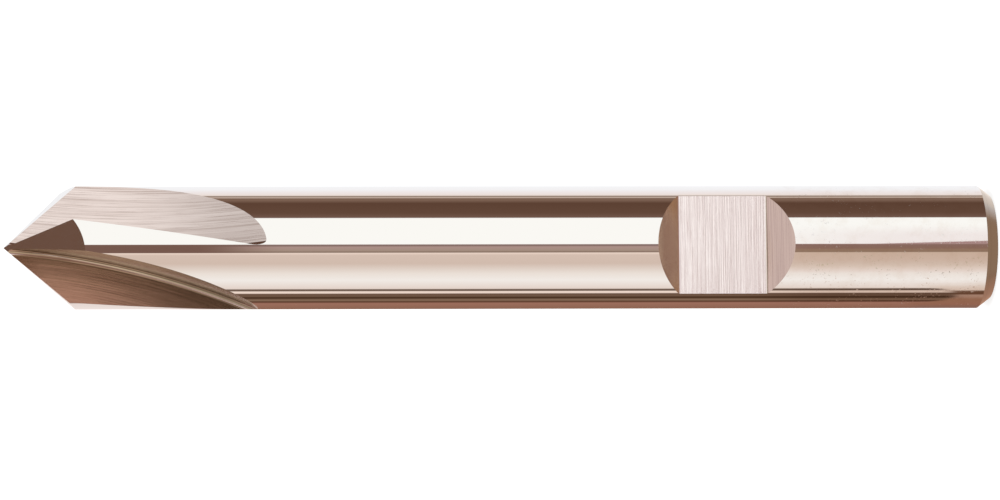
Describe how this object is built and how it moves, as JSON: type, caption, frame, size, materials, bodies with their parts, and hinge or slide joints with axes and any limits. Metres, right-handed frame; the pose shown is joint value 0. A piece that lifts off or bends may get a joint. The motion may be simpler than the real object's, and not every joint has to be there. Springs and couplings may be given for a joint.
{
  "type": "chamfer milling cutter",
  "caption": "One-piece 90 degree chamfer milling cutter with straight inclined flutes, a plain round shank and one side clamping flat.",
  "frame": {"origin": "centre of the shank's flat end face, on the tool's axis", "axes": "+Z along the axis from the shank's end to the cutting tip, -Y the side that the clamping flat faces"},
  "size_m": [0.01, 0.01, 0.0814],
  "materials": {
    "ground_steel": "ground and polished bare tool steel"
  },
  "bodies": {
    "root": {"cutter": "ground_steel"}
  },
  "joints": []
}
